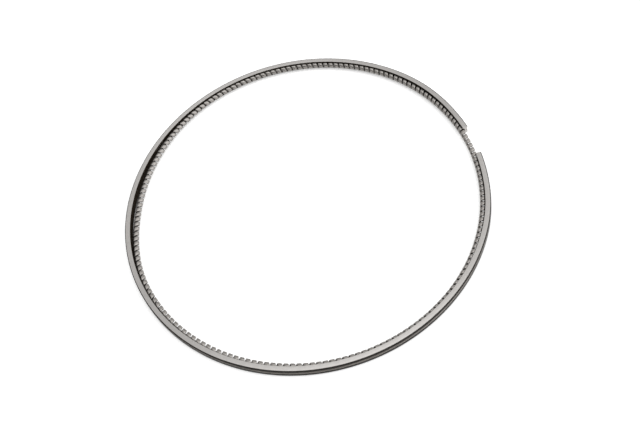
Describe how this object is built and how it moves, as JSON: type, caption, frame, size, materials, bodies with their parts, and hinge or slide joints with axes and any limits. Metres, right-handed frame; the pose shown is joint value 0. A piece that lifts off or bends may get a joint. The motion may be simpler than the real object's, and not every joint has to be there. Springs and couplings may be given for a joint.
{
  "type": "oil control piston ring with coil spring expander",
  "caption": "Split oil control ring with two bevelled running lands, a slotted oil groove and a coil spring expander seated in its inner face.",
  "frame": {"origin": "ring axis, on the plane of the lower side face", "axes": "+Z along the ring axis from the lower to the upper side face, +X through the middle of the ring gap"},
  "size_m": [0.1233, 0.1236, 0.003],
  "materials": {
    "ring_iron": "ground side faces, dark satin lands and spring seat",
    "spring_steel": "drawn wire, satin",
    "latch_steel": "drawn wire"
  },
  "bodies": {
    "root": {"ring_body": "ring_iron", "coil_spring": "spring_steel", "latch_wire": "latch_steel"}
  },
  "joints": []
}
